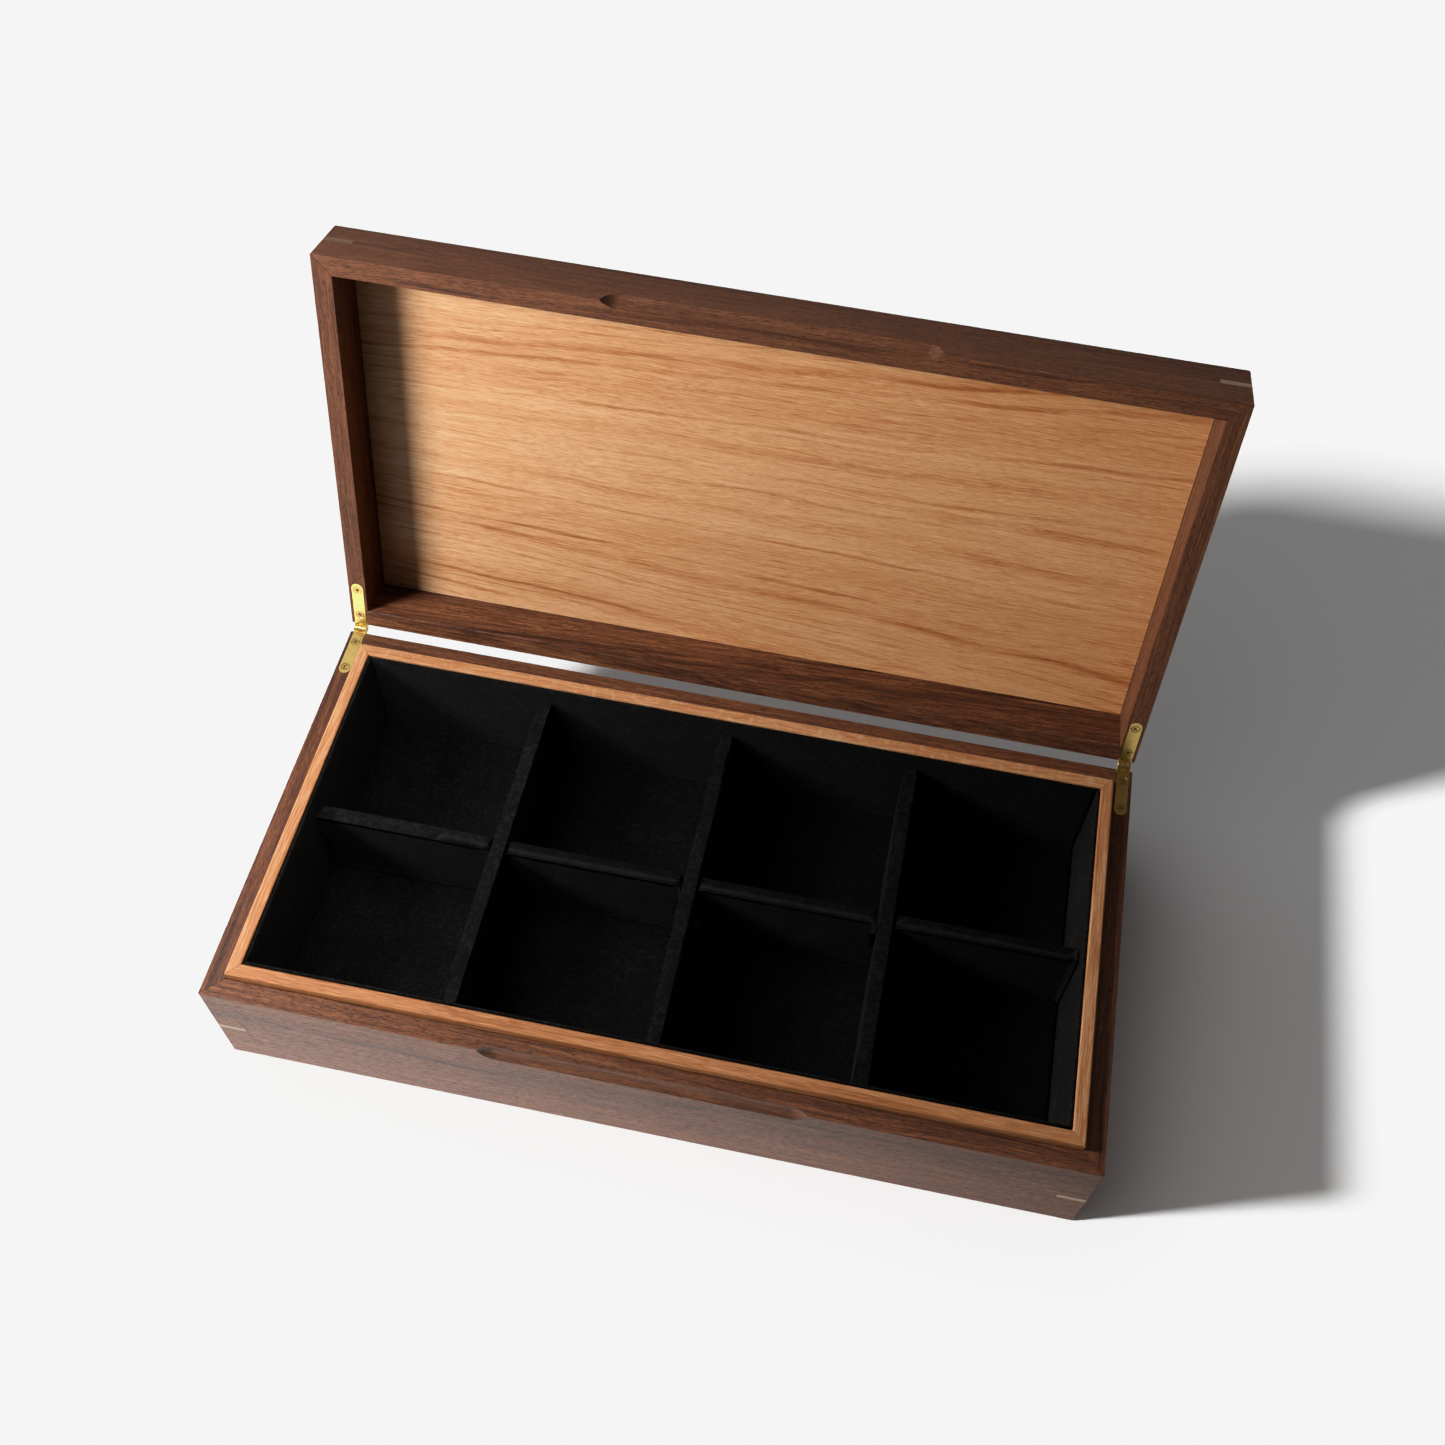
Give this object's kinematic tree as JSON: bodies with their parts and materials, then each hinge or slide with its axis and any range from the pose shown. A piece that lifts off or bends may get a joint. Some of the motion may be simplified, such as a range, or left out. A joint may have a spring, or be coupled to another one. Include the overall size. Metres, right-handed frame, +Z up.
{
  "type": "watch box",
  "caption": "Walnut watch box with a hinged lid, proud oak liner, oak lid panel, suede-lined divided cells, keyed mitres and let-in brass stop hinges.",
  "frame": {"origin": "centre of the flat underside, which the box stands on", "axes": "+X along the box to the right seen from the front, front faces -Y, +Z up; the lid stands open at rest"},
  "size_m": [0.42, 0.3, 0.279],
  "materials": {
    "walnut": "oiled black walnut, satin, straight grain along each board",
    "oak": "oiled oak, satin, straight grain along each board",
    "oak_panel": "oiled oak panel, satin, grain along the lid with open dark pores",
    "plywood": "sanded plywood, matt",
    "maple": "light wood keys, satin",
    "suede": "black suede with a short nap",
    "brass": "polished brass",
    "brass_screw": "polished brass"
  },
  "bodies": {
    "base": {"base_front_wall": "walnut", "base_right_wall": "walnut", "base_back_wall": "walnut", "base_left_wall": "walnut", "base_bottom_panel": "plywood", "base_key_front_left": "maple", "base_key_front_right": "maple", "base_key_back_left": "maple", "base_key_back_right": "maple", "liner_front": "oak", "liner_right": "oak", "liner_back": "oak", "liner_left": "oak", "lining_front": "suede", "lining_right": "suede", "lining_back": "suede", "lining_left": "suede", "floor_pad": "suede", "long_divider": "suede", "cross_divider_left": "suede", "cross_divider_middle": "suede", "cross_divider_right": "suede", "left_hinge_base_leaf": "brass", "right_hinge_base_leaf": "brass", "left_hinge_pin": "brass", "right_hinge_pin": "brass", "left_base_leaf_rear_screw": "brass_screw", "left_base_leaf_front_screw": "brass_screw", "right_base_leaf_rear_screw": "brass_screw", "right_base_leaf_front_screw": "brass_screw"},
    "lid": {"lid_front_rail": "walnut", "lid_right_rail": "walnut", "lid_back_rail": "walnut", "lid_left_rail": "walnut", "lid_top_panel": "walnut", "lid_oak_panel": "oak_panel", "lid_key_front_left": "maple", "lid_key_front_right": "maple", "lid_key_back_left": "maple", "lid_key_back_right": "maple", "left_hinge_lid_leaf": "brass", "right_hinge_lid_leaf": "brass", "left_lid_leaf_rear_screw": "brass_screw", "left_lid_leaf_front_screw": "brass_screw", "right_lid_leaf_rear_screw": "brass_screw", "right_lid_leaf_front_screw": "brass_screw"}
  },
  "joints": [
    {"name": "lid_hinge", "type": "hinge", "parent": "base", "child": "lid", "pos_m": [0, 0.1093, 0.07015], "axis": [1, 0, 0], "range_deg": [0, 104.5]}
  ]
}
